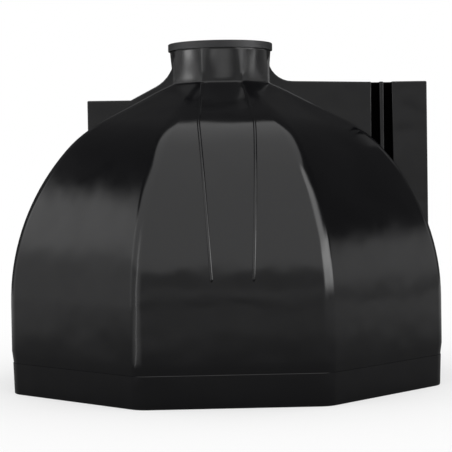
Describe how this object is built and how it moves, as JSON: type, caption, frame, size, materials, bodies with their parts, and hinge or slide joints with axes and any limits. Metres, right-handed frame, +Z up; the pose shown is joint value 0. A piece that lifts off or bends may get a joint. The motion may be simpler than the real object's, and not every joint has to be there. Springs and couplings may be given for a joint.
{
  "type": "septic tank",
  "caption": "Octagonal domed plastic septic tank with ribbed sides, a long inlet hood, a lower outlet hood and a round access neck under a lift-off lid.",
  "frame": {"origin": "on the ground under the middle of the tank", "axes": "+Z up through the neck, +X out of the inlet, -X out of the outlet, -Y out of the ribbed front side"},
  "size_m": [1.776, 1.776, 1.4481],
  "materials": {
    "tank_skin": "black polyethylene, smooth and glossy from the mould",
    "lid": "black polyethylene, smooth, slightly duller than the tank",
    "pipe_seal": "matt black rubber"
  },
  "bodies": {
    "tank": {"dome_back": "tank_skin", "dome_back_left": "tank_skin", "dome_back_right": "tank_skin", "dome_front": "tank_skin", "dome_front_left": "tank_skin", "dome_front_right": "tank_skin", "dome_left": "tank_skin", "dome_right": "tank_skin", "floor": "tank_skin", "inlet_baffle_back": "tank_skin", "inlet_baffle_front": "tank_skin", "inlet_end": "tank_skin", "inlet_nose_back": "tank_skin", "inlet_nose_front": "tank_skin", "inlet_seal": "pipe_seal", "inlet_side_back": "tank_skin", "inlet_side_front": "tank_skin", "inlet_top": "tank_skin", "neck": "tank_skin", "neck_rim": "tank_skin", "outlet_end": "tank_skin", "outlet_seal": "pipe_seal", "outlet_side_back": "tank_skin", "outlet_side_front": "tank_skin", "outlet_top": "tank_skin", "rib_back_left": "tank_skin", "rib_back_right": "tank_skin", "rib_front_left": "tank_skin", "rib_front_right": "tank_skin", "wall_back": "tank_skin", "wall_back_left": "tank_skin", "wall_back_right": "tank_skin", "wall_front": "tank_skin", "wall_front_left": "tank_skin", "wall_front_right": "tank_skin", "wall_left": "tank_skin", "wall_right": "tank_skin"},
    "lid": {"lid": "lid"}
  },
  "joints": [
    {"name": "lid_lift", "type": "slide", "parent": "tank", "child": "lid", "axis": [0, 0, 1], "range_m": [0, 0.15]}
  ]
}
